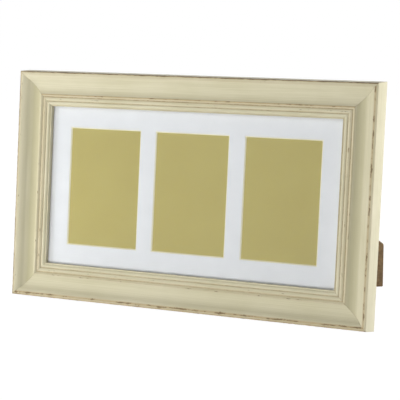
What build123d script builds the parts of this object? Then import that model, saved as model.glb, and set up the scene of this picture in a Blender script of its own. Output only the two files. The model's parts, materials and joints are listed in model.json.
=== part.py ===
from build123d import *
import os
from math import atan2, degrees, sqrt

os.makedirs("parts", exist_ok=True)

# A collage picture frame on a diagonal easel strut, for three upright photographs.
# It is built upright with its back at Y = 0 and its foot at Z = 0, front to -Y, then leaned back.
# Lengths are in millimetres and angles in degrees.

# Mat: openings are measured at the mat's back, and their bevel opens to the front
opening_count = 3
opening_width = 94.0
opening_height = 144.0
opening_bar = 22.6
mat_margin = 26.1
mat_thickness = 1.4
mat_bevel = 1.4

# Wooden moulding: its width at the back, its depth, and the rebate that holds the pack
# Its outer wall leans in towards the front by the rim's splay
rail_width = 44.6
rail_depth = 26.0
rebate_width = 7.4
rebate_depth = 12.0
rim_splay = 2.4
rim_width = 3.7
rim_round = 0.8

# Places across the moulding's face, as shares of its width at the back, out from the sight edge
quirk_share = 0.0359
inner_bead_share = 0.0919
inner_groove_share = 0.1413
outer_bead_share = 0.1996
outer_groove_share = 0.2578
ridge_inner_share = 0.2982
ridge_crest_share = 0.3139
ridge_outer_share = 0.3318
cove_low_share = 0.5179
roll_foot_share = 0.7489

# Heights of the same places, as shares of the depth in front of the rebate
lip_rise_share = 0.429
quirk_rise_share = 0.371
inner_bead_rise_share = 0.50
inner_groove_rise_share = 0.445
outer_bead_rise_share = 0.545
outer_groove_rise_share = 0.475
ridge_side_rise_share = 0.585
ridge_crest_rise_share = 0.607
cove_low_rise_share = 0.386
roll_foot_rise_share = 0.729

# Pack behind the moulding
glass_thickness = 2.0
card_width = 102.0
card_height = 152.0
card_thickness = 0.3
backing_thickness = 1.0
panel_thickness = 3.0
panel_sunk = 0.3
pack_clearance = 1.0

# Steel V-nails that pin the mitres from the back
nail_leg = 7.0
nail_steel = 0.5
nail_height = 8.0
nail_sunk = 0.4
nail_first = 12.0
nail_pitch = 14.0
nails_per_corner = 2

# Turn buttons that hold the panel, and their screws
button_width = 12.0
button_reach = 18.0
button_thickness = 1.2
button_lift = 0.3
button_inset = 9.0
button_spacing = 190.0
screw_diameter = 3.0
screw_length = 11.0
screw_head_diameter = 6.4
screw_head_height = 1.8
screw_head_round = 0.7
screw_slot_width = 0.9
screw_slot_depth = 0.8
screw_head_gap = 0.1

# Sawtooth hangers and their nails
hanger_length = 44.0
hanger_height = 9.0
hanger_steel = 0.8
hanger_tab = 7.5
hanger_ramp = 2.5
hanger_rise = 1.7
hanger_teeth = 9
tooth_depth = 1.6
hanger_inset = 25.0
hanger_end_inset = 84.3
hanger_nail_diameter = 1.6
hanger_nail_length = 10.0
hanger_nail_head_diameter = 3.4
hanger_nail_head_height = 0.7

# Easel strut: it swings about an axis at 45 degrees, so the frame stands upright or on its side
# Its length runs from the hinge, a drop below the panel's top, to the frame's lower right corner
strut_angle = 32.0
hinge_drop = 37.4
strut_corner_inset_side = 5.8
strut_corner_inset_foot = 3.0
strut_foot_edge = 59.0
strut_top_width = 40.0
strut_top_round = 5.0
strut_shoulder_round = 3.0
strut_foot_round = 1.5
strut_board = 3.0

# Strut hinge: two rolled leaves and a pin, with a tab that stops the swing
leaf_steel = 1.0
hinge_width = 34.0
hinge_lift = 0.3
hinge_pin_diameter = 3.0
pin_head_diameter = 4.4
pin_head_height = 0.8
knuckle_gap = 0.2
knuckle_share = 0.33
leaf_clear = 0.4
fixed_leaf_length = 17.0
moving_leaf_length = 30.0
moving_leaf_tip_width = 20.0
leaf_round = 3.0
stop_tab_length = 9.0
stop_gap = 0.05

# Hollow rivets that hold the leaves
rivet_diameter = 3.0
rivet_head_diameter = 5.6
rivet_head_height = 0.9
rivet_clinch_diameter = 4.6
rivet_clinch_height = 0.5
fixed_rivet_spacing = 20.0
moving_rivet_spacing = 16.0
moving_rivet_far = 23.0
moving_rivet_near = 9.0

# Fits: turning parts, and driven fasteners
running_fit = 0.05
driven_fit = 0.02
cut_overrun = 5.0

# Worked out from the sizes above
opening_pitch = opening_width + opening_bar
openings_span = opening_pitch * (opening_count - 1) + opening_width
sight_width = openings_span + 2 * mat_margin
sight_height = opening_height + 2 * mat_margin
outer_width = sight_width + 2 * rail_width
outer_height = sight_height + 2 * rail_width
half_width = outer_width / 2
half_height = outer_height / 2
pack_width = sight_width + 2 * (rebate_width - pack_clearance)
pack_height = sight_height + 2 * (rebate_width - pack_clearance)
glass_back = rebate_depth - glass_thickness
mat_back = glass_back - mat_thickness
card_back = mat_back - card_thickness
backing_back = card_back - backing_thickness
panel_front = panel_sunk + panel_thickness
pin_radius = hinge_pin_diameter / 2
knuckle_bore = pin_radius + running_fit
knuckle_radius = knuckle_bore + leaf_steel
leaf_start = knuckle_radius + leaf_clear
hinge_seat = knuckle_radius + hinge_lift
pin_depth = hinge_seat - panel_sunk
hinge_height = half_height + pack_height / 2 - hinge_drop
strut_reach = hinge_height - strut_corner_inset_foot
strut_length = strut_reach * sqrt(2)


def at(x, z, turn=0, y=0):
    """A place on the upright frame, turned about the line from front to back."""
    return Location((x, y, z), (0, turn, 0))


# The four sides in order, each a quarter turn on from the one before it
sides = ("bottom", "right", "top", "left")


def side_turn(side):
    """The turn that carries the bottom rail, or a corner fitting, round to a side."""
    return -sides.index(side) * 360 / len(sides)


def rail_place(side):
    """Where a side's rail goes: the middle of its outer edge at the back."""
    middles = {
        "bottom": (0, 0),
        "right": (half_width, half_height),
        "top": (0, outer_height),
        "left": (-half_width, half_height),
    }
    x, z = middles[side]
    return at(x, z, side_turn(side))


def corner_places():
    """The four outer corners, each turned so that its +X and +Z point into the frame."""
    return [
        at(-half_width, 0, side_turn("bottom")),
        at(half_width, 0, side_turn("right")),
        at(half_width, outer_height, side_turn("top")),
        at(-half_width, outer_height, side_turn("left")),
    ]


def face_point(width_share, rise_share):
    """A point of the moulding's face: (height up from the outer back edge, depth to the front)."""
    up = rail_width * (1 - width_share)
    front = rebate_depth + (rail_depth - rebate_depth) * rise_share
    return (up, front)


def moulding_section():
    """The section: a lip with two beads, a ridge, a wide cove, a roll, a flat rim and a splayed wall."""
    lip = face_point(0, lip_rise_share)
    quirk = face_point(quirk_share, quirk_rise_share)
    inner_bead = face_point(inner_bead_share, inner_bead_rise_share)
    inner_groove = face_point(inner_groove_share, inner_groove_rise_share)
    outer_bead = face_point(outer_bead_share, outer_bead_rise_share)
    outer_groove = face_point(outer_groove_share, outer_groove_rise_share)
    ridge_inner = face_point(ridge_inner_share, ridge_side_rise_share)
    ridge_crest = face_point(ridge_crest_share, ridge_crest_rise_share)
    ridge_outer = face_point(ridge_outer_share, ridge_side_rise_share)
    cove_low = face_point(cove_low_share, cove_low_rise_share)
    roll_foot = face_point(roll_foot_share, roll_foot_rise_share)
    rim_outer = (rim_splay, rail_depth)
    rim_inner = (rim_splay + rim_width, rail_depth)
    with BuildSketch() as section:
        with BuildLine():
            Polyline(
                rim_inner,
                rim_outer,
                (0, 0),
                (rail_width - rebate_width, 0),
                (rail_width - rebate_width, rebate_depth),
                (rail_width, rebate_depth),
                lip,
                quirk,
            )
            ThreePointArc(quirk, inner_bead, inner_groove)
            ThreePointArc(inner_groove, outer_bead, outer_groove)
            Line(outer_groove, ridge_inner)
            ThreePointArc(ridge_inner, ridge_crest, ridge_outer)
            cove = ThreePointArc(ridge_outer, cove_low, roll_foot)
            TangentArc(roll_foot, rim_inner, tangent=cove % 1)
        make_face()
        arris = section.vertices().group_by(Axis.Y)[-1].sort_by(Axis.X)[0]
        fillet(arris, rim_round)
    return section.sketch


def rail_blank(length):
    """A bottom rail of the given outer length, mitred, with its outer back edge on Z = 0."""
    across = Plane(origin=(-length / 2, 0, 0), x_dir=(0, 0, 1), z_dir=(1, 0, 0))
    section = across * moulding_section()
    blank = extrude(section, length)
    for end in (-1, 1):
        mitre = Plane(
            origin=(end * length / 2, 0, 0),
            z_dir=(end, 0, 1),
        )
        blank = split(blank, bisect_by=mitre, keep=Keep.BOTTOM)
    return blank


def slab(width, height, thickness, back):
    """A sheet of the pack: centred on the openings, its back face a depth in front of Y = 0."""
    sheet = Box(width, thickness, height, align=(Align.CENTER, Align.MAX, Align.CENTER))
    return at(0, half_height, y=-back) * sheet


def opening_x(index):
    """Middle of one opening, from left to right."""
    return opening_pitch * (index - (opening_count - 1) / 2)


def mat():
    """White mat with bevelled openings."""
    board = slab(pack_width, pack_height, mat_thickness, mat_back)
    for index in range(opening_count):
        middle = (opening_x(index), -mat_back, half_height)
        back_face = Plane(origin=middle, x_dir=(1, 0, 0), z_dir=(0, -1, 0))
        back_edge = back_face * Rectangle(opening_width, opening_height)
        front_width = opening_width + 2 * mat_bevel
        front_height = opening_height + 2 * mat_bevel
        front_edge = back_face.offset(mat_thickness) * Rectangle(front_width, front_height)
        board -= loft([back_edge, front_edge])
    return board


def photo_card(index):
    """A card behind one opening."""
    card = slab(card_width, card_height, card_thickness, card_back)
    return Pos(opening_x(index), 0, 0) * card


def corner_nail(grow=0, height=nail_height):
    """A V-nail seen from the back as two square legs along +X and +Z, its top at Y = 0."""
    leg = nail_leg + 2 * grow
    steel = nail_steel + 2 * grow
    corner = (Align.MIN, Align.MAX, Align.MIN)
    shape = Box(leg, height, steel, align=corner) + Box(steel, height, leg, align=corner)
    return Pos(-grow, 0, -grow) * shape


def corner_nail_places(depth):
    """Every V-nail's place, at a depth in from the back."""
    places = []
    for corner in corner_places():
        for step in range(nails_per_corner):
            along = nail_first + nail_pitch * step
            places.append(corner * Pos(along, -depth, along))
    return places


def button_places():
    """Name and place of each turn button: its screw, with +Z into the frame."""
    up = rail_width - rebate_width - button_inset
    across = button_spacing / 2
    return {
        "turn_button_bottom_left": rail_place("bottom") * Pos(-across, 0, up),
        "turn_button_bottom_right": rail_place("bottom") * Pos(across, 0, up),
        "turn_button_right": rail_place("right") * Pos(0, 0, up),
        "turn_button_top_right": rail_place("top") * Pos(-across, 0, up),
        "turn_button_top_left": rail_place("top") * Pos(across, 0, up),
        "turn_button_left": rail_place("left") * Pos(0, 0, up),
    }


def turn_button():
    """A round-ended steel button over its screw, reaching in over the panel."""
    slot = Pos(0, button_reach / 2) * Rot(0, 0, 90) * SlotCenterToCenter(button_reach, button_width)
    plate = extrude(Plane.XZ * slot, button_thickness, dir=(0, 1, 0))
    bore = rod(screw_diameter / 2 + running_fit, -cut_overrun, button_thickness + cut_overrun)
    return Pos(0, button_lift, 0) * (plate - bore)


def rod(radius, start, end):
    """A round rod along Y between two depths."""
    return Location((0, start, 0), (-90, 0, 0)) * Cylinder(
        radius, end - start, align=(Align.CENTER, Align.CENTER, Align.MIN)
    )


def button_screw():
    """A slotted pan-head screw through a turn button into the rail."""
    head_start = button_lift + button_thickness + screw_head_gap
    head_end = head_start + screw_head_height
    head = rod(screw_head_diameter / 2, head_start, head_end)
    head = fillet(head.edges().sort_by(Axis.Y)[-1], screw_head_round)
    slot = Box(
        screw_head_diameter + cut_overrun,
        screw_slot_depth + cut_overrun,
        screw_slot_width,
        align=(Align.CENTER, Align.MIN, Align.CENTER),
    )
    head -= Pos(0, head_end - screw_slot_depth, 0) * slot
    return head + rod(screw_diameter / 2, head_start - screw_length, head_start)


def hanger_places():
    """Name and place of each hanger: two for hanging level, one for hanging on end."""
    up = rail_width - rebate_width - hanger_inset
    across = half_width - hanger_end_inset
    return {
        "hanger_top_right": rail_place("top") * Pos(-across, 0, up),
        "hanger_top_left": rail_place("top") * Pos(across, 0, up),
        "hanger_left": rail_place("left") * Pos(0, 0, up),
    }


def hanger():
    """A sawtooth hanger: flat ends on the rail, a raised middle with teeth on its inner edge."""
    half = hanger_length / 2
    foot = half - hanger_tab
    crest = foot - hanger_ramp
    under = [(-half, 0), (-foot, 0), (-crest, hanger_rise), (crest, hanger_rise), (foot, 0), (half, 0)]
    over = [(x, y + hanger_steel) for x, y in reversed(under)]
    side = Plane.XY.offset(-hanger_height / 2) * make_face(Polyline(*under, *over, close=True))
    strip = extrude(side, hanger_height)
    pitch = 2 * crest / hanger_teeth
    for tooth in range(hanger_teeth):
        left = -crest + pitch * tooth
        edge = hanger_height / 2
        notch = Polyline(
            (left, edge),
            (left + pitch / 2, edge - tooth_depth),
            (left + pitch, edge),
            close=True,
        )
        cut = extrude(Plane.XZ * make_face(notch), hanger_rise + hanger_steel + cut_overrun, dir=(0, 1, 0))
        strip -= cut
    for place in hanger_nail_places():
        strip -= place * rod(hanger_nail_diameter / 2 + driven_fit, -cut_overrun, cut_overrun)
    return strip


def hanger_nail_places():
    """The two nails of a hanger, in its flat ends."""
    across = (hanger_length - hanger_tab) / 2
    return [Pos(-across, 0, 0), Pos(across, 0, 0)]


def hanger_nail():
    """A round-headed nail through a hanger's end into the rail."""
    head = rod(hanger_nail_head_diameter / 2, hanger_steel, hanger_steel + hanger_nail_head_height)
    return head + rod(hanger_nail_diameter / 2, hanger_steel - hanger_nail_length, hanger_steel)


def rail_cuts():
    """Slots and pilot holes in the rails for every nail and screw."""
    cuts = []
    slot = corner_nail(driven_fit, nail_height + nail_sunk + driven_fit)
    cuts += [place * slot for place in corner_nail_places(0)]
    head_start = button_lift + button_thickness + screw_head_gap
    pilot = rod(screw_diameter / 2 + driven_fit, head_start - screw_length - driven_fit, 0)
    cuts += [place * pilot for place in button_places().values()]
    pilot = rod(hanger_nail_diameter / 2 + driven_fit, hanger_steel - hanger_nail_length - driven_fit, 0)
    for place in hanger_places().values():
        cuts += [place * spot * pilot for spot in hanger_nail_places()]
    return cuts


def hinge_place(swing=0):
    """The hinge pin's middle: X along the pin, Y towards the strut's foot, Z to the back.

    The strut is drawn folded flat and swings open about X.
    """
    across = half_width - strut_corner_inset_side - strut_reach
    plane = Plane(origin=(across, pin_depth, hinge_height), x_dir=(1, 0, 1), z_dir=(0, 1, 0))
    return plane.location * Rot(swing, 0, 0)


def knuckle(start, end):
    """A rolled knuckle along the pin."""
    return Location((start, 0, 0), (0, 90, 0)) * Cylinder(
        knuckle_radius, end - start, align=(Align.CENTER, Align.CENTER, Align.MIN)
    )


def pin_bore(radius):
    """The hole through a leaf's knuckles."""
    return Rot(0, 90, 0) * Cylinder(radius, hinge_width + cut_overrun)


middle_half = hinge_width * knuckle_share / 2
outer_start = middle_half + knuckle_gap


def fixed_rivet_places():
    """Rivets of the fixed leaf, above the pin."""
    far = -(leaf_start + fixed_leaf_length) / 2
    return [Pos(side * fixed_rivet_spacing / 2, far) for side in (-1, 1)]


def fixed_leaf():
    """The leaf on the panel, with the two outer knuckles."""
    plate = Pos(0, -fixed_leaf_length / 2, -hinge_seat) * Box(
        hinge_width, fixed_leaf_length, leaf_steel, align=(Align.CENTER, Align.CENTER, Align.MIN)
    )
    tips = plate.edges().filter_by(Axis.Z).group_by(Axis.Y)[0]
    plate = fillet(tips, leaf_round)
    plate += knuckle(-hinge_width / 2, -outer_start) + knuckle(outer_start, hinge_width / 2)
    plate -= Box(2 * outer_start, 2 * leaf_start, 2 * knuckle_radius + cut_overrun)
    plate -= pin_bore(pin_radius + driven_fit)
    for place in fixed_rivet_places():
        plate -= place * Cylinder(rivet_diameter / 2 + driven_fit, 2 * knuckle_radius + cut_overrun)
    return plate


def moving_rivet_places():
    """Rivets of the moving leaf: two beside the pin, one near its tip."""
    near = leaf_start + moving_rivet_near / 2
    return [
        Pos(-moving_rivet_spacing / 2, near),
        Pos(moving_rivet_spacing / 2, near),
        Pos(0, moving_rivet_far),
    ]


def moving_leaf():
    """The leaf on the strut's back, with the middle knuckle and the stop tab."""
    top = knuckle_radius
    wide = hinge_width / 2
    tip = moving_leaf_tip_width / 2
    outline = Polyline(
        (-wide, leaf_start),
        (wide, leaf_start),
        (tip, moving_leaf_length),
        (-tip, moving_leaf_length),
        close=True,
    )
    plate = extrude(Plane.XY.offset(top - leaf_steel) * make_face(outline), leaf_steel)
    tips = plate.edges().filter_by(Axis.Z).group_by(Axis.Y)[-1]
    plate = fillet(tips, leaf_round)
    neck = Pos(0, 0, top - leaf_steel) * Box(
        2 * middle_half, leaf_start + leaf_steel, leaf_steel, align=(Align.CENTER, Align.MIN, Align.MIN)
    )
    tab = Pos(0, 0, leaf_steel - hinge_seat + stop_gap) * Box(
        2 * middle_half, stop_tab_length, leaf_steel, align=(Align.CENTER, Align.MAX, Align.MIN)
    )
    plate += neck + knuckle(-middle_half, middle_half) + Rot(-strut_angle, 0, 0) * tab
    plate -= pin_bore(knuckle_bore)
    for place in moving_rivet_places():
        plate -= place * Cylinder(rivet_diameter / 2 + driven_fit, 2 * knuckle_radius + cut_overrun)
    return plate


def hinge_pin():
    """The pin, headed at both ends."""
    length = hinge_width + 2 * pin_head_height
    pin = Rot(0, 90, 0) * Cylinder(pin_radius, length)
    for side in (-1, 1):
        middle = side * (hinge_width + pin_head_height) / 2
        pin += Pos(middle, 0, 0) * Rot(0, 90, 0) * Cylinder(pin_head_diameter / 2, pin_head_height)
    return pin


def strut_outline():
    """The strut folded flat: narrow at the hinge, with a square foot corner."""
    top = strut_top_width / 2
    shoulder = strut_foot_edge / sqrt(2)
    outline = make_face(
        Polyline(
            (-top, leaf_start),
            (top, leaf_start),
            (shoulder, strut_length - shoulder),
            (0, strut_length),
            (-shoulder, strut_length - shoulder),
            close=True,
        )
    )
    outline = fillet(outline.vertices().group_by(Axis.Y)[0], strut_top_round)
    outline = fillet(outline.vertices().group_by(Axis.Y)[-2], strut_shoulder_round)
    return fillet(outline.vertices().group_by(Axis.Y)[-1], strut_foot_round)


def strut():
    """The strut's board, behind it the moving leaf."""
    back = knuckle_radius - leaf_steel
    board = extrude(Plane.XY.offset(back - strut_board) * strut_outline(), strut_board)
    for place in moving_rivet_places():
        board -= place * Cylinder(rivet_diameter / 2 + driven_fit, 2 * strut_board + cut_overrun)
    return board


def stud(radius, bottom, top):
    """A round piece standing on the hinge's plane between two heights."""
    return Pos(0, 0, bottom) * Cylinder(radius, top - bottom, align=(Align.CENTER, Align.CENTER, Align.MIN))


def moving_rivet():
    """A rivet through the moving leaf and the strut, clinched in front."""
    leaf_top = knuckle_radius
    board_front = knuckle_radius - leaf_steel - strut_board
    rivet = stud(rivet_head_diameter / 2, leaf_top, leaf_top + rivet_head_height)
    rivet += stud(rivet_diameter / 2, board_front, leaf_top)
    return rivet + stud(rivet_clinch_diameter / 2, board_front - rivet_clinch_height, board_front)


def fixed_rivet(grow=0):
    """A rivet through the fixed leaf and the panel, clinched flush in the panel's front."""
    leaf_top = leaf_steel - hinge_seat
    front = -hinge_seat - panel_thickness
    rivet = stud(rivet_head_diameter / 2, leaf_top, leaf_top + rivet_head_height)
    rivet += stud(rivet_diameter / 2 + grow, front, leaf_top)
    return rivet + stud(rivet_clinch_diameter / 2 + grow, front, front + rivet_clinch_height)


def back_panel():
    """The hardboard panel, drilled for the fixed leaf's rivets."""
    panel = slab(pack_width, pack_height, panel_thickness, panel_sunk)
    for place in fixed_rivet_places():
        panel -= hinge_place() * place * fixed_rivet(driven_fit)
    return panel


def build_upright():
    """Every piece by name, on the upright frame, with the strut swung open."""
    pieces = {}
    cuts = rail_cuts()
    for side in sides:
        length = outer_width if side in ("top", "bottom") else outer_height
        rail = rail_place(side) * rail_blank(length)
        pieces["rail_" + side] = rail - cuts
    pieces["corner_v_nails"] = [place * corner_nail() for place in corner_nail_places(nail_sunk)]
    pieces["glass"] = slab(pack_width, pack_height, glass_thickness, glass_back)
    pieces["mat"] = mat()
    for index in range(opening_count):
        pieces["photo_card_" + str(index + 1)] = photo_card(index)
    pieces["backing_card"] = slab(pack_width, pack_height, backing_thickness, backing_back)
    pieces["corrugated_pad"] = slab(pack_width, pack_height, backing_back - panel_front, panel_front)
    pieces["back_panel"] = back_panel()
    for name, place in button_places().items():
        pieces[name] = place * turn_button()
    pieces["turn_button_screws"] = [place * button_screw() for place in button_places().values()]
    nails = []
    for name, place in hanger_places().items():
        pieces[name] = place * hanger()
        nails += [place * spot * hanger_nail() for spot in hanger_nail_places()]
    pieces["hanger_nails"] = nails
    pieces["hinge_fixed_leaf"] = hinge_place() * fixed_leaf()
    pieces["hinge_pin"] = hinge_place() * hinge_pin()
    pieces["fixed_leaf_rivets"] = [hinge_place() * place * fixed_rivet() for place in fixed_rivet_places()]
    open_place = hinge_place(strut_angle)
    pieces["strut"] = open_place * strut()
    pieces["hinge_moving_leaf"] = open_place * moving_leaf()
    pieces["moving_leaf_rivets"] = [open_place * place * moving_rivet() for place in moving_rivet_places()]
    return pieces


def lean_angle(board):
    """How far the frame leans back until the strut's foot meets the floor."""
    return min(degrees(atan2(corner.Z, corner.Y)) for corner in board.vertices() if corner.Y > 0)


def as_shape(piece):
    """One shape for a piece, or for a group of separate ones."""
    return Compound(piece) if isinstance(piece, list) else piece


def report_axis(name, place, direction):
    """Print a joint's point and axis on the finished model."""
    point = place.position
    print(name, [round(v, 4) for v in point], [round(v, 6) for v in direction])


upright = build_upright()
lean = lean_angle(upright["strut"])
leaned = {name: Rot(-lean, 0, 0) * as_shape(piece) for name, piece in upright.items()}
box = Compound(list(leaned.values())).bounding_box()
to_origin = Pos(-box.center().X, -box.center().Y, -box.min.Z)
stand = to_origin * Rot(-lean, 0, 0)

for node, shape in leaned.items():
    export_step(to_origin * shape, "parts/" + node + ".step")

print("lean", round(lean, 4))
back_way = Vector(0, 1, 0).rotate(Axis.X, -lean)
pin_way = Vector(1, 0, 1).normalized().rotate(Axis.X, -lean)
report_axis("strut", stand * hinge_place(), pin_way)
for node, place in button_places().items():
    report_axis(node, stand * place, back_way)
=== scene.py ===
import json
from math import acos, atan2, radians, sin

import bmesh
import bpy
from mathutils import Euler, Matrix, Vector

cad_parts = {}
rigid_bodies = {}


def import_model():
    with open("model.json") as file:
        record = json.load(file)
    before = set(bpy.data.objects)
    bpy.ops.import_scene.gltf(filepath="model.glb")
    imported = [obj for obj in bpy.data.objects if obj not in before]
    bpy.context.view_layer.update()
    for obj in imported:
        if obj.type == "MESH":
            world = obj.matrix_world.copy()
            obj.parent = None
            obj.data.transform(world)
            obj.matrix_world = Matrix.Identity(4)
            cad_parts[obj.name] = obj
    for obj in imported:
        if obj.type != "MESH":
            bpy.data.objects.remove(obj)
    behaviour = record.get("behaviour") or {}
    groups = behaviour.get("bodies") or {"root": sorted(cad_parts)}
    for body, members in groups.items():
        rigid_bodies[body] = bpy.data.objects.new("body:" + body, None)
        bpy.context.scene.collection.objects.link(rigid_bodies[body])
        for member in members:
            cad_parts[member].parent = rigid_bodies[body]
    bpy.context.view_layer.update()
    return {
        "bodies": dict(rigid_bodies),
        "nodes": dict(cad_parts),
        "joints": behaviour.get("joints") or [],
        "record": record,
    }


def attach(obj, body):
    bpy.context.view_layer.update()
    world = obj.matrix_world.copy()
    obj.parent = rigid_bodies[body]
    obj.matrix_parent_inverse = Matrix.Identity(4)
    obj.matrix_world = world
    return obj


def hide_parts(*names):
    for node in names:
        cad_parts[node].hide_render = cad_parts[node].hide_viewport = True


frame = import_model()

# Looks of a collage picture frame: distressed cream moulding, white mat, three gold cards.
# Pieces are modelled upright in millimetres: back at Y = 0, foot at Z = 0, front to -Y.
# Each is then turned by the frame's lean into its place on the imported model, in metres.
mm = 0.001

# Moulding: its depth, and the rebate that holds the glass, mat and panel
rail_depth = 26.0
rebate_width = 7.4
rebate_depth = 12.0

# Moulding's face: (out from the sight edge, forward from the back)
lip_edge = Vector((0.0, 18.0))
quirk = Vector((1.6, 17.2))
inner_bead = Vector((4.1, 19.0))
inner_groove = Vector((6.3, 18.2))
outer_bead = Vector((8.9, 19.6))
outer_groove = Vector((11.5, 18.65))
ridge_inner = Vector((13.3, 20.2))
ridge_crest = Vector((14.0, 20.5))
ridge_outer = Vector((14.8, 20.2))
cove_low = Vector((23.1, 17.4))
roll_foot = Vector((33.4, 22.2))
rim_width = 3.7
rim_splay = 2.4

# Softened arrises of the moulding
rim_inner_round = 0.7
rim_outer_round = 0.9
lip_round = 0.35
back_round = 0.6

# Mitres stop this short of each other, with a small chamfer
mitre_gap = 0.12
mitre_chamfer = 0.28

# Mat openings, measured at the mat's back, and the burnished edge of their bevel
opening_width = 94.0
opening_height = 144.0
mat_burnish = 0.12
cutter_overrun = 1.0

# Glass stands this clear of the mat and the rebate
glass_clear = 0.06
glass_arris = 0.25

# Nail slots are carried this far past the back of the moulding
slot_overrun = 2

# Cuts across a rail, in two rounds, that give its arrises enough points for nicks
rail_cuts = (59, 3)

# Angles in degrees past which an edge stays sharp
arris_angle = 40
moulding_arris_angle = 32
mat_arris_angle = 30

# CAD vertices this close merge, and faces this flat to each other join, in degrees
merge_reach = 0.002
flat_angle = 1

# Two places this close are the same
same_place = 0.01


def mount(name):
    """A mount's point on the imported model, in metres."""
    return Vector(next(m["pos_m"] for m in frame["record"]["mounts"] if m["name"] == name))


def joint_axis(name):
    """A joint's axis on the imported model."""
    return Vector(next(j["axis"] for j in frame["joints"] if j["name"] == name))


back_way = joint_axis("turn_button_left_turn")
up_way = Vector((0.0, -back_way.z, back_way.y))
lean = atan2(-back_way.z, back_way.y)
upright_origin = mount("underside") + (back_way * rail_depth - up_way * rim_splay) / 2 * mm
turned = Matrix.Translation(upright_origin) @ Matrix.Rotation(-lean, 4, "X")
stand = turned @ Matrix.Scale(mm, 4)
to_upright = stand.inverted()


def upright_box(node):
    """Lowest and highest corners of a CAD node in upright millimetres."""
    corners = [to_upright @ vertex.co for vertex in frame["nodes"][node].data.vertices]
    low = Vector(min(corner[axis] for corner in corners) for axis in range(3))
    high = Vector(max(corner[axis] for corner in corners) for axis in range(3))
    return low, high


left_low, left_high = upright_box("rail_left")
rail_width = left_high.x - left_low.x
half_width = -left_low.x
outer_height = left_high.z
middle_height = outer_height / 2
sight_half_width = half_width - rail_width
sight_half_height = middle_height - rail_width
card_middles = [sum(upright_box("photo_card_" + number), Vector()) / 2 for number in "123"]
rim_outer = Vector((rail_width - rim_splay, rail_depth))
rim_inner = rim_outer - Vector((rim_width, 0.0))
lip_middle = (lip_edge + quirk) / 2
back_arris = Vector((rail_width, 0.0))


# Modelling helpers


def deselect():
    """Nothing selected, in object mode."""
    if bpy.context.object and bpy.context.object.mode != "OBJECT":
        bpy.ops.object.mode_set(mode="OBJECT")
    bpy.ops.object.select_all(action="DESELECT")


def make_active(piece):
    """One piece selected and active."""
    deselect()
    piece.select_set(True)
    bpy.context.view_layer.objects.active = piece


def edit(piece):
    """Edit mode on one piece, all of it selected."""
    make_active(piece)
    bpy.ops.object.mode_set(mode="EDIT")
    bpy.ops.mesh.select_all(action="SELECT")


def end_edit():
    bpy.ops.object.mode_set(mode="OBJECT")


def pick(piece, kind, rule):
    """Select the vertices, edges or faces that pass a rule, in edit mode."""
    bpy.ops.mesh.select_mode(type=kind)
    bpy.ops.mesh.select_all(action="DESELECT")
    shape = bmesh.from_edit_mesh(piece.data)
    shape.normal_update()
    parts = {"VERT": shape.verts, "EDGE": shape.edges, "FACE": shape.faces}[kind]
    for part in parts:
        if rule(part):
            part.select_set(True)
    bmesh.update_edit_mesh(piece.data)


def block(name, low, high):
    """A cube primitive stretched between two corners."""
    deselect()
    bpy.ops.mesh.primitive_cube_add(size=1, location=(low + high) / 2)
    piece = bpy.context.object
    piece.name = name
    piece.scale = high - low
    bpy.ops.object.transform_apply(location=True, rotation=True, scale=True)
    return piece


def apply_modifier(piece, kind, **settings):
    """Add one modifier with its settings and apply it."""
    make_active(piece)
    bpy.ops.object.modifier_add(type=kind)
    modifier = piece.modifiers[-1]
    for name, value in settings.items():
        setattr(modifier, name, value)
    bpy.ops.object.modifier_apply(modifier=modifier.name)


def smooth(piece, angle):
    """Shade a piece smooth, but for edges sharper than an angle in degrees."""
    make_active(piece)
    bpy.ops.object.shade_smooth_by_angle(angle=radians(angle))


def round_arrises(piece, radius):
    """Round every arris, and shade the piece smooth between them."""
    apply_modifier(
        piece,
        "BEVEL",
        width=radius,
        segments=2,
        limit_method="ANGLE",
        angle_limit=radians(arris_angle),
    )
    smooth(piece, arris_angle)


def cut_away(piece, cutter):
    """Cut one solid out of another."""
    apply_modifier(piece, "BOOLEAN", operation="DIFFERENCE", solver="MANIFOLD", object=cutter)


def copy_of(piece, name):
    """A copy with its own mesh."""
    copy = bpy.data.objects.new(name, piece.data.copy())
    bpy.context.scene.collection.objects.link(copy)
    return copy


def node_copy(node, name):
    """A CAD node's mesh as an editable piece, upright and merged."""
    piece = copy_of(frame["nodes"][node], name)
    piece.data.transform(to_upright)
    piece.data.materials.clear()
    make_active(piece)
    bpy.ops.mesh.customdata_custom_splitnormals_clear()
    edit(piece)
    bpy.ops.mesh.remove_doubles(threshold=merge_reach)
    bpy.ops.mesh.dissolve_limited(angle_limit=radians(flat_angle))
    end_edit()
    return piece


def set_in_place(piece, body, slot, finishes, *nodes):
    """Turn an upright piece into its place, with its finishes, its body and what it replaces."""
    piece.data.transform(stand)
    if finishes:
        piece.data.materials.clear()
    for finish in finishes:
        piece.data.materials.append(finish)
    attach(piece, body)
    if nodes:
        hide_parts(*nodes)


# Finishes


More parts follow.
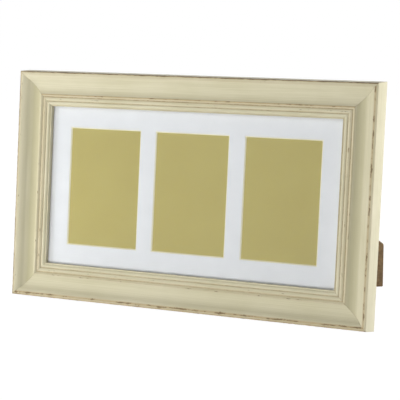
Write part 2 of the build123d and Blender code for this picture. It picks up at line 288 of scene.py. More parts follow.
class Finish:
    """A procedural material, built node by node."""

    def __init__(self, name, roughness, metallic=0.0):
        self.material = bpy.data.materials.new(name)
        self.material.use_nodes = True
        self.tree = self.material.node_tree
        self.shader = self.tree.nodes["Principled BSDF"]
        self.shader.inputs["Roughness"].default_value = roughness
        self.shader.inputs["Metallic"].default_value = metallic
        place = self.add("ShaderNodeTexCoord").outputs["Object"]
        inputs = {
            "Vector": place,
            "Location": upright_origin,
            "Rotation": (-lean, 0, 0),
            "Scale": (mm, mm, mm),
        }
        mapping = self.add("ShaderNodeMapping", inputs, vector_type="TEXTURE")
        self.place = mapping.outputs["Vector"]

    def add(self, kind, inputs=(), **settings):
        """One node; inputs are numbers, colours or other nodes' outputs."""
        node = self.tree.nodes.new(kind)
        for name, value in settings.items():
            setattr(node, name, value)
        for key, value in dict(inputs).items():
            if isinstance(value, bpy.types.NodeSocket):
                self.tree.links.new(value, node.inputs[key])
            else:
                node.inputs[key].default_value = value
        return node

    def math(self, operation, *values):
        return self.add("ShaderNodeMath", enumerate(values), operation=operation).outputs[0]

    def clamp(self, value):
        return self.add("ShaderNodeClamp", {"Value": value}).outputs[0]

    def axes(self):
        """Upright place as three numbers, in millimetres."""
        return self.add("ShaderNodeSeparateXYZ", {0: self.place}).outputs[:3]

    def vector(self, x, y, z):
        return self.add("ShaderNodeCombineXYZ", {0: x, 1: y, 2: z}).outputs[0]

    def stretch(self, vector, x, y, z):
        """A vector with each axis scaled."""
        inputs = {0: vector, 1: (x, y, z)}
        return self.add("ShaderNodeVectorMath", inputs, operation="MULTIPLY").outputs[0]

    def ramp(self, value, start, end):
        """Smoothly 0 at start and 1 at end."""
        inputs = {"Value": value, "From Min": start, "From Max": end}
        node = self.add("ShaderNodeMapRange", inputs, interpolation_type="SMOOTHSTEP")
        return node.outputs["Result"]

    def between(self, value, low, high):
        """A number that goes straight from low to high as value goes from 0 to 1."""
        inputs = {"Value": value, "To Min": low, "To Max": high}
        return self.add("ShaderNodeMapRange", inputs).outputs["Result"]

    def noise(self, vector, detail=3.0, roughness=0.5, scale=1.0):
        inputs = {"Vector": vector, "Scale": scale, "Detail": detail, "Roughness": roughness}
        return self.add("ShaderNodeTexNoise", inputs).outputs["Fac"]

    def part_of(self, first, second, share):
        """Mostly the first number, with a share of the second."""
        return self.math("MULTIPLY_ADD", second, share, self.math("MULTIPLY", first, 1.0 - share))

    def blend(self, share, first, second):
        """One colour over another by a share."""
        inputs = {0: share, 6: first, 7: second}
        return self.add("ShaderNodeMix", inputs, data_type="RGBA").outputs[2]

    def color(self, color):
        self.tree.links.new(color, self.shader.inputs["Base Color"])

    def roughness(self, value):
        self.tree.links.new(value, self.shader.inputs["Roughness"])

    def bump(self, height, depth, before=None):
        """Relief from a height of 0 to 1, with its depth in millimetres."""
        inputs = {"Height": height, "Distance": depth * mm, "Strength": 1.0}
        if before:
            inputs["Normal"] = before
        return self.add("ShaderNodeBump", inputs).outputs["Normal"]

    def relief(self, normal):
        self.tree.links.new(normal, self.shader.inputs["Normal"])


def linear(level):
    """One screen level, 0 to 255, made linear by the sRGB curve."""
    share = level / 255
    return share / 12.92 if share <= 0.04045 else ((share + 0.055) / 1.055) ** 2.4


def rgb(red, green, blue):
    """A colour as it looks on screen, made linear for the shader."""
    return (linear(red), linear(green), linear(blue), 1.0)


cream_paint = rgb(207, 201, 175)
# A lighter cream, used as a painted highlight on the roll
roll_painted_highlight = rgb(216, 210, 182)
aged_paint = rgb(190, 184, 152)
# A darker cream, used as painted shade in the cove
cove_painted_shade = rgb(182, 176, 142)
# Tan for the stains about the worn lines, also used as painted shade on some crests and beads
tan_stain_and_shade = rgb(170, 148, 108)
glaze_brown = rgb(136, 112, 76)
bare_wood = rgb(134, 114, 80)
dark_wood = rgb(82, 68, 46)
raw_pine = rgb(206, 176, 132)
raw_pine_dark = rgb(168, 130, 86)

# How much starker than the breaks themselves the wear in patches is
patch_contrast = 2.2


class MouldingFinish(Finish):
    """A finish that knows where it is on the moulding's section, and along which rail."""

    def __init__(self, name, roughness):
        super().__init__(name, roughness)
        x, y, z = self.axes()
        from_middle = self.math("SUBTRACT", z, middle_height)
        self.out_x = self.math("SUBTRACT", self.math("ABSOLUTE", x), sight_half_width)
        self.out_z = self.math("SUBTRACT", self.math("ABSOLUTE", from_middle), sight_half_height)
        self.out = self.math("MAXIMUM", self.out_x, self.out_z)
        self.front = self.math("MULTIPLY", y, -1.0)
        self.on_stile = self.math("GREATER_THAN", self.out_x, self.out_z)
        self.on_left = self.math("LESS_THAN", x, 0.0)
        self.on_top = self.math("GREATER_THAN", from_middle, 0.0)
        self.section = self.vector(self.out, self.front, 0.0)
        shift = self.per_side(left=0.0, top=900.0, right=1700.0, bottom=2600.0)
        along = self.math("ADD", self.pick_one(self.on_stile, x, z), shift)
        self.run = self.vector(along, self.out, self.front)
        self.breaks = self.noise(self.stretch(self.run, 0.10, 0.22, 0.22), detail=4, roughness=0.62)
        self.fine_breaks = self.noise(self.stretch(self.run, 0.5, 0.9, 0.9), detail=2)
        self.ragged = self.part_of(self.breaks, self.fine_breaks, 0.3)
        self.dotted = self.part_of(self.breaks, self.fine_breaks, 0.6)
        about_half = (1 - patch_contrast) / 2
        self.patchy = self.math("MULTIPLY_ADD", self.breaks, patch_contrast, about_half)

    def pick_one(self, share, first, second):
        return self.add("ShaderNodeMix", {0: share, 2: first, 3: second}).outputs[0]

    def per_side(self, left, top, right, bottom):
        """A number of its own for each rail."""
        stile = self.pick_one(self.on_left, right, left)
        rail = self.pick_one(self.on_top, bottom, top)
        return self.pick_one(self.on_stile, rail, stile)

    def distance(self, spot):
        """How far the surface is from one line of the section."""
        inputs = {0: self.section, 1: (spot.x, spot.y, 0.0)}
        return self.add("ShaderNodeVectorMath", inputs, operation="DISTANCE").outputs["Value"]

    def rub(self, spot, reach, cover, breaks=None):
        """Ragged wear about one line of the section; a higher cover wears more of it through."""
        uneven = self.math("SUBTRACT", breaks or self.ragged, 0.5)
        width = self.math("MULTIPLY", self.math("ADD", uneven, cover), reach * 3)
        return self.ramp(self.math("SUBTRACT", width, self.distance(spot)), -0.15, 0.4)

    def tan_band(self, spot, reach, strength):
        """A soft tan haze about one line of the section."""
        share = self.ramp(self.distance(spot), reach, 0.0)
        uneven = self.between(self.breaks, 0.55, 1.45)
        return self.math("MULTIPLY", self.math("MULTIPLY", share, uneven), strength)

    def most(self, values):
        """The highest of several numbers."""
        total = values[0]
        for value in values[1:]:
            total = self.math("MAXIMUM", total, value)
        return total


def rubbed_through(finish):
    """Where the paint is worn away: on the rim, the ridge, the outer bead and the back's arris."""
    rim_edge = rim_outer - Vector((0.3, 0.2))
    outer_cover = finish.per_side(left=0.18, top=0.22, right=-0.12, bottom=0.05)
    inner_cover = finish.per_side(left=-0.2, top=-0.2, right=0.05, bottom=0.1)
    ridge_cover = finish.per_side(left=-0.12, top=-0.04, right=-0.2, bottom=-0.12)
    return finish.most([
        finish.rub(rim_edge, 1.4, outer_cover),
        finish.rub(rim_inner, 1.3, inner_cover, finish.patchy),
        finish.rub(ridge_crest, 0.9, ridge_cover, finish.patchy),
        finish.rub(outer_bead, 0.9, -0.14, finish.patchy),
        finish.rub(back_arris, 1.2, 0.05),
    ])


def left_in_grooves(finish):
    """Where brown glaze is left: on the lip, in the two grooves and along the mitres."""
    lip_cover = finish.per_side(left=-0.4, top=-0.12, right=0.0, bottom=-0.3)
    groove_cover = finish.per_side(left=0.05, top=0.14, right=0.07, bottom=0.06)
    from_mitre = finish.math("ABSOLUTE", finish.math("SUBTRACT", finish.out_x, finish.out_z))
    broken = finish.ramp(finish.fine_breaks, 0.35, 0.65)
    mitre_line = finish.math("MULTIPLY", finish.ramp(from_mitre, 0.8, 0.2), broken)
    return finish.most([
        finish.rub(lip_middle, 1.0, lip_cover, finish.dotted),
        finish.rub(inner_groove, 0.8, 0.08, finish.dotted),
        finish.rub(outer_groove, 0.9, groove_cover, finish.dotted),
        finish.math("MULTIPLY", mitre_line, 0.5),
    ])


def tan_stains_and_painted_shade(finish):
    """The soft tan stains about the worn lines, stronger on some rails than on others; on the left
    outer bead and the top rail's ridge crest they are painted shade that dulls their highlights.
    """
    per_side = finish.per_side
    return finish.most([
        finish.tan_band(rim_outer, 3.4, per_side(left=0.95, top=0.85, right=0.2, bottom=1.0)),
        finish.tan_band(rim_inner, 2.6, per_side(left=0.1, top=0.25, right=0.75, bottom=0.85)),
        # On the top rail the ridge crest is darkened strongly: painted shade in place of its
        # highlight.
        finish.tan_band(ridge_crest, 1.8, per_side(left=0.2, top=0.9, right=0.4, bottom=0.3)),
        # On the left rail the outer bead is darkened more: painted shade that dulls its highlight.
        finish.tan_band(outer_bead, 2.0, per_side(left=0.5, top=0.1, right=0.3, bottom=0.1)),
        finish.tan_band(outer_groove, 2.4, per_side(left=0.4, top=0.5, right=0.45, bottom=0.5)),
        finish.tan_band(inner_groove, 1.6, 0.45),
        # The right rail's lip is darkened more than the others.
        finish.tan_band(lip_middle, 1.6, per_side(left=0.05, top=0.2, right=0.45, bottom=0.0)),
    ])


def brushed_paint_and_painted_light(finish, brush):
    """Cream paint with brush streaks and clouds, with painted shade in the cove and a painted
    highlight on the roll, both stronger on some rails than on others.
    """
    clouds = finish.noise(finish.place, detail=2, scale=0.02)
    streaks = finish.math("MULTIPLY", finish.ramp(brush, 0.3, 0.7), 0.55)
    age = finish.clamp(finish.math("ADD", streaks, finish.math("SUBTRACT", clouds, 0.4)))
    paint = finish.blend(age, cream_paint, aged_paint)
    # Painted shade: a darker cream in the cove, mostly on the left and right rails.
    in_cove = finish.ramp(finish.distance(cove_low - Vector((1.2, 0.0))), 9.0, 3.0)
    cove_shade_share = finish.per_side(left=0.95, top=0.0, right=0.7, bottom=0.05)
    paint = finish.blend(finish.math("MULTIPLY", in_cove, cove_shade_share), paint, cove_painted_shade)
    # Painted highlight: a lighter cream on the roll, mostly on the left rail.
    on_roll = finish.ramp(finish.distance(roll_foot + Vector((2.0, 1.6))), 5.0, 1.5)
    roll_highlight_share = finish.per_side(left=0.9, top=0.15, right=0.0, bottom=0.0)
    return finish.blend(finish.math("MULTIPLY", on_roll, roll_highlight_share), paint, roll_painted_highlight)


def unpainted(finish):
    """Where the wood was never painted: the back and the rebate, with a ragged edge of paint."""
    paint_creep = finish.math("MULTIPLY", finish.breaks, 2.2)
    behind = finish.ramp(finish.math("SUBTRACT", finish.front, paint_creep), -0.5, -0.9)
    past_rebate = finish.ramp(finish.out, rebate_width + 0.3, rebate_width)
    below_rebate = finish.ramp(finish.front, rebate_depth + 0.3, rebate_depth)
    return finish.math("MAXIMUM", behind, finish.math("MULTIPLY", past_rebate, below_rebate))


def painted_moulding():
    """Cream paint over wood: rubbed through on the arrises, with brown glaze in the grooves."""
    finish = MouldingFinish("painted_moulding", 0.45)
    worn = rubbed_through(finish)
    glaze = left_in_grooves(finish)
    raw = unpainted(finish)
    brush = finish.noise(finish.stretch(finish.run, 0.012, 1.3, 1.3), detail=3)
    grain = finish.noise(finish.stretch(finish.run, 0.05, 2.2, 2.2), detail=5, roughness=0.65)
    wood = finish.blend(finish.ramp(grain, 0.35, 0.65), dark_wood, bare_wood)
    pine = finish.blend(finish.ramp(grain, 0.3, 0.7), raw_pine_dark, raw_pine)
    color = finish.blend(tan_stains_and_painted_shade(finish), brushed_paint_and_painted_light(finish, brush), tan_stain_and_shade)
    color = finish.blend(finish.math("MULTIPLY", glaze, 0.7), color, glaze_brown)
    color = finish.blend(finish.math("MULTIPLY", worn, 0.85), color, wood)
    finish.color(finish.blend(raw, color, pine))

    bare = finish.math("MAXIMUM", worn, raw)
    dullness = finish.math("ADD", bare, finish.math("MULTIPLY", brush, 0.3))
    finish.roughness(finish.between(dullness, 0.42, 0.7))
    strokes = finish.bump(brush, 0.10)
    raised_grain = finish.math("MULTIPLY", grain, finish.between(bare, 0.2, 1.0))
    fibres = finish.bump(raised_grain, 0.10, strokes)
    finish.relief(finish.bump(finish.math("SUBTRACT", 1.0, worn), 0.12, fibres))
    return finish.material


# Glass: the share it reflects head on, how fast that grows at a slant, and its refraction
head_on_reflection = 0.036
slant_power = 5.0
glass_refraction = 1.45


def picture_glass():
    """Clear glass: at a slant each face reflects more and lets in less light."""
    finish = Finish("picture_glass", 0.03, 1.0)
    finish.shader.inputs["Base Color"].default_value = (1.0, 1.0, 1.0, 1.0)
    smears = finish.noise(finish.place, detail=2, scale=0.03)
    finish.roughness(finish.between(smears, 0.02, 0.06))
    facing = finish.add("ShaderNodeLayerWeight", {"Blend": 0.5}).outputs["Facing"]
    slant = finish.math("POWER", facing, slant_power)
    reflected = finish.math("MULTIPLY_ADD", slant, 1.0 - head_on_reflection, head_on_reflection)
    held_back = finish.add("ShaderNodeFresnel", {"IOR": glass_refraction}).outputs[0]
    for_lamps = finish.add("ShaderNodeLightPath").outputs["Is Shadow Ray"]
    more = finish.math("MULTIPLY", finish.math("SUBTRACT", held_back, reflected), for_lamps)
    finish.tree.links.new(finish.math("ADD", reflected, more), finish.shader.inputs["Alpha"])
    return finish.material


def paper(name, light, dark, roughness, fibre_scale, depth):
    """Matt board or paper: faint fibres and clouding."""
    finish = Finish(name, roughness)
    clouds = finish.noise(finish.place, detail=3, scale=0.04)
    fibres = finish.noise(finish.place, detail=4, roughness=0.7, scale=fibre_scale)
    share = finish.part_of(clouds, fibres, 0.4)
    finish.color(finish.blend(finish.ramp(share, 0.3, 0.7), light, dark))
    finish.relief(finish.bump(fibres, depth))
    return finish.material


def hardboard():
    """Brown hardboard: pressed fibres, smooth and slightly shiny."""
    finish = Finish("brown_hardboard", 0.5)
    clumps = finish.noise(finish.place, detail=5, roughness=0.65, scale=0.25)
    fibres = finish.noise(finish.place, detail=3, roughness=0.7, scale=1.6)
    share = finish.part_of(clumps, fibres, 0.45)
    finish.color(finish.blend(finish.ramp(share, 0.36, 0.64), rgb(104, 82, 52), rgb(146, 120, 82)))
    finish.roughness(finish.between(fibres, 0.42, 0.62))
    finish.relief(finish.bump(share, 0.08))
    return finish.material


# How far the corrugated card's flutes turn in each millimetre, in radians
flute_turn = 1.05


def corrugated():
    """Corrugated card: its flutes show through the liner as soft stripes."""
    finish = Finish("corrugated_card", 0.85)
    z = finish.axes()[2]
    flutes = finish.math("SINE", finish.math("MULTIPLY", z, flute_turn))
    fibres = finish.noise(finish.place, detail=4, scale=0.8)
    share = finish.math("ADD", finish.math("MULTIPLY", flutes, 0.12), fibres)
    finish.color(finish.blend(finish.ramp(share, 0.3, 0.7), rgb(150, 118, 80), rgb(184, 150, 108)))
    finish.relief(finish.bump(share, 0.1))
    return finish.material


def plated(name, light, dark, roughness):
    """Plated metal: slightly uneven, with fine scratches."""
    finish = Finish(name, roughness, 1.0)
    clouds = finish.noise(finish.place, detail=3, scale=0.35)
    scratches = finish.noise(finish.stretch(finish.place, 0.6, 5.0, 5.0), detail=2)
    finish.color(finish.blend(finish.ramp(clouds, 0.35, 0.7), light, dark))
    finish.roughness(finish.between(scratches, roughness - 0.08, roughness + 0.14))
    finish.relief(finish.bump(scratches, 0.02))
    return finish.material


moulding_paint = painted_moulding()
clear_glass = picture_glass()
mat_paper = paper("mat_paper", rgb(241, 244, 247), rgb(237, 240, 243), 0.9, 1.5, 0.05)
mat_core = paper("mat_core", rgb(250, 248, 226), rgb(242, 238, 212), 0.9, 3.0, 0.06)
gold_paper = paper("gold_card", rgb(186, 174, 93), rgb(182, 169, 87), 0.55, 1.2, 0.03)
grey_board = paper("grey_board", rgb(196, 190, 176), rgb(178, 172, 158), 0.9, 1.0, 0.08)
corrugated_card = corrugated()
brown_hardboard = hardboard()
zinc_steel = plated("zinc_steel", rgb(200, 202, 206), rgb(176, 178, 182), 0.32)
brass_plate = plated("brass", rgb(214, 180, 112), rgb(190, 152, 84), 0.28)


# Moulding rails


def arc_centre(start, through, end):
    """Centre of the circle through three points."""
    first = through - start
    second = end - start
    cross = 2 * (first.x * second.y - first.y * second.x)
    x = (second.y * first.length_squared - first.y * second.length_squared) / cross
    y = (first.x * second.length_squared - second.x * first.length_squared) / cross
    return start + Vector((x, y))


def arc_points(start, end, centre, steps):
    """Points along an arc of under half a circle, its start left out."""
    first = start - centre
    last = end - centre
    turn = acos(max(-1.0, min(1.0, first.dot(last) / (first.length * last.length))))
    points = []
    for step in range(1, steps + 1):
        share = step / steps
        reach = first * sin((1 - share) * turn) + last * sin(share * turn)
        points.append(centre + reach / sin(turn))
    return points


def moulding_route():
    """The section's outline, from the lip outwards over the face and back round the rebate."""
    inner_bead_centre = arc_centre(quirk, inner_bead, inner_groove)
    outer_bead_centre = arc_centre(inner_groove, outer_bead, outer_groove)
    ridge_centre = arc_centre(ridge_inner, ridge_crest, ridge_outer)
    cove_centre = arc_centre(ridge_outer, cove_low, roll_foot)
    away = (roll_foot - cove_centre).normalized()
    chord = rim_inner - roll_foot
    roll_centre = roll_foot + away * chord.length_squared / (2 * chord.dot(away))
    route = [lip_edge, quirk]
    route += arc_points(quirk, inner_groove, inner_bead_centre, 9)
    route += arc_points(inner_groove, outer_groove, outer_bead_centre, 10)
    route.append(ridge_inner)
    route += arc_points(ridge_inner, ridge_outer, ridge_centre, 4)
    route += arc_points(ridge_outer, roll_foot, cove_centre, 16)
    route += arc_points(roll_foot, rim_inner, roll_centre, 8)
    route += [
        rim_outer,
        back_arris,
        Vector((rebate_width, 0.0)),
        Vector((rebate_width, rebate_depth)),
        Vector((0.0, rebate_depth)),
    ]
    return route


def round_corner(piece, spot, radius, segments=4):
    """Round one corner of the flat section."""
    place = section_place(spot)
    pick(piece, "VERT", lambda vertex: (vertex.co - place).length < same_place)
    bpy.ops.mesh.bevel(offset=radius, segments=segments, affect="VERTICES")


def section_place(spot):
    """A point of the section on the bottom rail, at its left end."""
    return Vector((-half_width, -spot.y, rail_width - spot.x))


def runs_along(edge):
    """Whether an edge of the bottom rail runs along its length."""
    return abs(edge.verts[0].co.x - edge.verts[1].co.x) > 1


def rail_blank():
    """A long bottom rail, drawn as a section vertex by vertex and pulled out along its length."""
    deselect()
    route = moulding_route()
    bpy.ops.mesh.primitive_plane_add(size=1, location=(0, 0, 0))
    piece = bpy.context.object
    edit(piece)
    bpy.ops.mesh.merge(type="CENTER")
    here = Vector()
    first = section_place(route[0])
    bpy.ops.transform.translate(value=first - here)
    here = first
    for spot in route[1:]:
        place = section_place(spot)
        bpy.ops.mesh.extrude_vertices_move(TRANSFORM_OT_translate={"value": place - here})
        here = place
    bpy.ops.mesh.select_all(action="SELECT")
    bpy.ops.mesh.edge_face_add()
    round_corner(piece, rim_outer, rim_outer_round)
    round_corner(piece, rim_inner, rim_inner_round)
    round_corner(piece, lip_edge, lip_round, 3)
    round_corner(piece, back_arris, back_round)
    bpy.ops.mesh.select_all(action="SELECT")
    length = 2 * half_width
    bpy.ops.mesh.extrude_region_move(TRANSFORM_OT_translate={"value": (length, 0, 0)})
    bpy.ops.mesh.select_all(action="SELECT")
    bpy.ops.mesh.normals_make_consistent(inside=False)
    for cuts in rail_cuts:
        pick(piece, "EDGE", runs_along)
        bpy.ops.mesh.subdivide(number_cuts=cuts)
    end_edit()
    return piece


# How each rail is turned up from the bottom one, and where its outer edge's middle goes
rail_turns = {
    "bottom": (0, Vector((0, 0, 0))),
    "right": (-90, Vector((half_width, 0, middle_height))),
    "top": (180, Vector((0, 0, outer_height))),
    "left": (90, Vector((-half_width, 0, middle_height))),
}

# Nicks in the arrises that wear: how far each reaches, their pattern, and their depth.
# The level is high, so that they go into the wood and not out of it.
nicked_arrises = ((rim_outer, 1.6), (rim_inner, 1.4), (ridge_crest, 1.2))
nick_pattern = bpy.data.textures.new("nicks", "CLOUDS")
nick_pattern.noise_scale = 4.0
nick_pattern.noise_depth = 2
nick_depth = 0.5
nick_level = 0.8


def near_arris(vertex):
    """Whether a vertex of the bottom rail lies by an arris that wears."""
    spot = Vector((rail_width - vertex.co.z, -vertex.co.y))
    return any((spot - arris).length < reach for arris, reach in nicked_arrises)


def mitre(piece, end, half_length):
    """Cut one end at 45 degrees, with a small chamfer round the cut."""
    corner = Vector((end * (half_length - mitre_gap), 0, 0))
    outward = Vector((end, 0, 1)).normalized()
    edit(piece)
    bpy.ops.mesh.bisect(plane_co=corner, plane_no=outward, use_fill=True, clear_outer=True)
    pick(piece, "FACE", lambda face: face.normal.dot(outward) > 0.99)
    bpy.ops.mesh.inset(thickness=mitre_chamfer, depth=mitre_chamfer / 2, use_even_offset=False)
    end_edit()


def rail(side, blank, nails):
    """One mitred rail with its nail slots and slightly knocked arrises."""
    piece = copy_of(blank, "moulding_" + side)
    half_length = half_width if side in ("top", "bottom") else middle_height
    for end in (-1, 1):
        mitre(piece, end, half_length)
    arrises = piece.vertex_groups.new(name="arrises")
    nicked = [vertex.index for vertex in piece.data.vertices if near_arris(vertex)]
    arrises.add(nicked, 1.0, "REPLACE")
    turn, middle = rail_turns[side]
    piece.data.transform(Matrix.Translation(middle) @ Matrix.Rotation(radians(turn), 4, "Y"))
    apply_modifier(
        piece,
        "DISPLACE",
        texture=nick_pattern,
        texture_coords="LOCAL",
        vertex_group="arrises",
        mid_level=nick_level,
        strength=nick_depth,
    )
    cut_away(piece, nails)
    smooth(piece, moulding_arris_angle)
    set_in_place(piece, "frame", "painted_moulding", [moulding_paint], "rail_" + side)


def rails():
    """Four rails from one blank."""
    blank = rail_blank()
    cutter = node_copy("corner_v_nails", "nail_slots")
    edit(cutter)
    pick(cutter, "VERT", lambda vertex: vertex.co.y > -1)
    bpy.ops.transform.translate(value=(0, slot_overrun, 0))
    end_edit()
    for side in rail_turns:
        rail(side, blank, cutter)
    for used in (blank, cutter):
        bpy.data.objects.remove(used)


# Glass, mat and cards


def glass_pane():
    """The glass, its edges ground, just clear of the mat and the rebate."""
    low, high = upright_box("glass")
    inset = Vector((glass_clear, glass_clear, glass_clear))
    pane = block("glass_pane", low + inset, high - inset)
    round_arrises(pane, glass_arris)
    set_in_place(pane, "frame", "clear_glass", [clear_glass], "glass")


def opening_cutter(middle, low, high):
    """A block through one opening, spread to the front by the bevel."""
    over = cutter_overrun
    thickness = high.y - low.y
    back_half = Vector((opening_width / 2 - over, 0, opening_height / 2 - over))
    front_half = back_half + Vector((thickness + 2 * over, 0, thickness + 2 * over))
    start = Vector((middle.x - back_half.x, low.y - over, middle.z - back_half.z))
    end = Vector((middle.x + back_half.x, high.y + over, middle.z + back_half.z))
    cutter = block("opening_cutter", start, end)
    edit(cutter)
    pick(cutter, "FACE", lambda face: face.normal.y < -0.9)
    bpy.ops.transform.resize(
        value=(front_half.x / back_half.x, 1, front_half.z / back_half.z),
        center_override=(middle.x, start.y, middle.z),
    )
    end_edit()
    return cutter


def on_bevel(face):
    """Whether a face of the mat is part of an opening's bevel."""
    return 0.1 < abs(face.normal.y) < 0.9


def mat_board():
    """White mat with three bevelled openings that show its cream core."""
    low, high = upright_box("mat")
    board = block("mat_board", low, high)
    for middle in card_middles:
        cutter = opening_cutter(middle, low, high)
        cut_away(board, cutter)
        bpy.data.objects.remove(cutter)
    board.data.materials.clear()
    board.data.materials.append(mat_paper)
    board.data.materials.append(mat_core)
    edit(board)
    pick(board, "FACE", on_bevel)
    board.active_material_index = 1
    bpy.ops.object.material_slot_assign()
    pick(board, "EDGE", lambda edge: on_front_arris(edge, low.y))
    bpy.ops.mesh.bevel(offset=mat_burnish, segments=2, material=0)
    end_edit()
    smooth(board, mat_arris_angle)
    set_in_place(board, "frame", "white_mat", [], "mat")


def on_front_arris(edge, front):
    """Whether an edge lies between the mat's face and a bevel."""
    on_front = all(abs(vertex.co.y - front) < same_place for vertex in edge.verts)
    return on_front and any(on_bevel(face) for face in edge.link_faces)


def finish_node(node, finish):
    """A CAD node that stays takes its finish."""
    materials = frame["nodes"][node].data.materials
    materials.clear()
    materials.append(finish)


# Hardware: each stands for a CAD node, with its arrises softened


# Each piece's body, its slot and the radius of its arrises
hardware_pieces = {
    "turn_button_screws": ("frame", "zinc_steel", 0.12),
    "corner_v_nails": ("frame", "zinc_steel", 0.06),
    "hanger_top_right": ("frame", "brass", 0.12),
    "hanger_top_left": ("frame", "brass", 0.12),
    "hanger_left": ("frame", "brass", 0.12),
    "hanger_nails": ("frame", "brass", 0.2),
    "hinge_fixed_leaf": ("frame", "zinc_steel", 0.2),
    "hinge_pin": ("frame", "zinc_steel", 0.2),
    "fixed_leaf_rivets": ("frame", "brass", 0.35),
    "hinge_moving_leaf": ("strut", "zinc_steel", 0.2),
    "moving_leaf_rivets": ("strut", "brass", 0.35),
    "strut": ("strut", "brown_hardboard", 0.4),
    "back_panel": ("frame", "brown_hardboard", 0.3),
}
hardware_finishes = {
    "zinc_steel": zinc_steel,
    "brass": brass_plate,
    "brown_hardboard": brown_hardboard,
}
button_arris = 0.3


def softened(node, body, slot, radius):
    """A CAD node's shape with softened arrises and its finish."""
    piece = node_copy(node, node + "_finished")
    round_arrises(piece, radius)
    set_in_place(piece, body, slot, [hardware_finishes[slot]], node)


def hardware():
    """The turn buttons, each on its own body, and then the rest."""
    for name in frame["bodies"]:
        if name.startswith("turn_button"):
            softened(name, name, "zinc_steel", button_arris)
    for name, (body, slot, radius) in hardware_pieces.items():
        softened(name, body, slot, radius)


# Studio


# Floor: its size and its drop below the frame's foot in metres, and its grey.
# To the eye it is mostly a white glow, which leaves a little of the shadow.
floor_size = 12
floor_drop = 0.0002
floor_grey = (0.8, 0.8, 0.8, 1.0)
floor_glow_share = 0.94
floor_glow = 1.06


def floor():
    """A pale floor that looks white and still takes the frame's shadow."""
    deselect()
    bpy.ops.mesh.primitive_plane_add(size=floor_size, location=(0, 0, -floor_drop))
    ground = bpy.context.object
    ground.name = "floor"
    material = bpy.data.materials.new("floor")
    material.use_nodes = True
    tree = material.node_tree
    tree.nodes.clear()
    add = tree.nodes.new
    link = tree.links.new
    diffuse = add("ShaderNodeBsdfDiffuse")
    diffuse.inputs["Color"].default_value = floor_grey
    white = add("ShaderNodeEmission")
    seen = add("ShaderNodeMixShader")
    seen.inputs[0].default_value = floor_glow_share
    link(diffuse.outputs[0], seen.inputs[1])
    link(white.outputs[0], seen.inputs[2])
    white.inputs["Strength"].default_value = floor_glow
    pick_view = add("ShaderNodeMixShader")
    link(seen_by_eye(tree), pick_view.inputs[0])
    link(diffuse.outputs[0], pick_view.inputs[1])
    link(seen.outputs[0], pick_view.inputs[2])
    output = add("ShaderNodeOutputMaterial")
    link(pick_view.outputs[0], output.inputs[0])
    ground.data.materials.append(material)


def seen_by_eye(tree):
    """1 for rays from the camera, a mirror or through glass."""
    path = tree.nodes.new("ShaderNodeLightPath")
    total = path.outputs["Is Camera Ray"]
    for name in ("Is Glossy Ray", "Is Transmission Ray"):
        both = tree.nodes.new("ShaderNodeMath")
        both.operation = "MAXIMUM"
        tree.links.new(total, both.inputs[0])
        tree.links.new(path.outputs[name], both.inputs[1])
        total = both.outputs[0]
    return total


# Light from all round, from the front to the back, and where along Y it changes
ambient_front = 0.0
ambient_back = 0.2
ambient_change = (-0.4, 0.5)


def world():
    """White surroundings, a little brighter behind the frame, as with a lit white backdrop."""
    surroundings = bpy.data.worlds.new("studio")
    bpy.context.scene.world = surroundings
    surroundings.use_nodes = True
    tree = surroundings.node_tree
    tree.nodes.clear()
    add = tree.nodes.new
    link = tree.links.new
    direction = add("ShaderNodeTexCoord").outputs["Generated"]
    split = add("ShaderNodeSeparateXYZ")
    link(direction, split.inputs[0])
    level = add("ShaderNodeMapRange")
    level.interpolation_type = "SMOOTHSTEP"
    link(split.outputs["Y"], level.inputs["Value"])
    level.inputs["From Min"].default_value = ambient_change[0]
    level.inputs["From Max"].default_value = ambient_change[1]
    level.inputs["To Min"].default_value = ambient_front
    level.inputs["To Max"].default_value = ambient_back
    lit = add("ShaderNodeBackground")
    link(level.outputs["Result"], lit.inputs["Strength"])
    seen = add("ShaderNodeBackground")
    for background in (lit, seen):
        background.inputs["Color"].default_value = (1.0, 1.0, 1.0, 1.0)
    pick_view = add("ShaderNodeMixShader")
    link(seen_by_eye(tree), pick_view.inputs[0])
    link(lit.outputs[0], pick_view.inputs[1])
    link(seen.outputs[0], pick_view.inputs[2])
    output = add("ShaderNodeOutputWorld")
    link(pick_view.outputs[0], output.inputs[0])


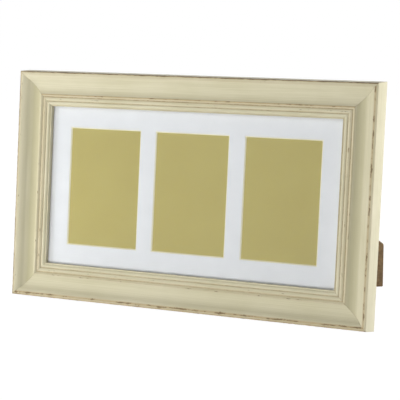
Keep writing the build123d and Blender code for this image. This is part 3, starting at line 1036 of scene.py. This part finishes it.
def soft_light(name, place, target, size, power):
    """A square softbox that faces a point."""
    lamp = bpy.data.lights.new(name, "AREA")
    lamp.shape = "SQUARE"
    lamp.size = size
    lamp.energy = power
    holder = bpy.data.objects.new(name, lamp)
    holder.visible_glossy = False
    holder.visible_camera = False
    bpy.context.scene.collection.objects.link(holder)
    place = Vector(place)
    turn = (Vector(target) - place).to_track_quat("-Z", "Y").to_matrix().to_4x4()
    holder.matrix_world = Matrix.Translation(place) @ turn


# Softboxes: place, the point it faces, its size in metres and its power
frame_middle = (0.0, -0.08, 0.14)
softboxes = {
    "key": ((-0.95, -0.55, 0.06), frame_middle, 0.5, 8.5),
    "key_fill": ((-0.75, -0.9, 0.1), frame_middle, 0.5, 2.2),
    "front": ((0.05, -1.3, 0.06), (0.0, -0.08, 0.2), 0.3, 8.4),
    "top": ((-0.2, -1.0, 0.8), frame_middle, 0.6, 3.4),
    "side": ((0.9, 0.22, 0.25), (0.23, -0.05, 0.14), 0.4, 6.3),
    "back": ((-0.35, 1.1, 0.55), (0.0, 0.0, 0.14), 0.6, 10.0),
}

# Camera: its eye in upright millimetres, its turn in degrees, its lens and sensor
camera_eye = Vector((667.72, -1509.97, 233.79))
camera_turn = (86.602, -2.6707, 23.7081)
camera_lens = 123.357
camera_sensor = 36.0


def camera():
    """The photograph's viewpoint, found on the upright frame and leaned with it."""
    lens = bpy.data.cameras.new("camera")
    lens.lens = camera_lens
    lens.sensor_width = camera_sensor
    viewer = bpy.data.objects.new("camera", lens)
    bpy.context.scene.collection.objects.link(viewer)
    turn = Euler([radians(angle) for angle in camera_turn], "XYZ").to_matrix().to_4x4()
    viewer.matrix_world = turned @ Matrix.Translation(camera_eye * mm) @ turn
    bpy.context.scene.camera = viewer


camera()
world()
floor()
for name, setting in softboxes.items():
    soft_light(name, *setting)
rails()
glass_pane()
mat_board()
for number in "123":
    finish_node("photo_card_" + number, gold_paper)
finish_node("backing_card", grey_board)
finish_node("corrugated_pad", corrugated_card)
hardware()

bpy.context.scene.view_settings.view_transform = "Standard"
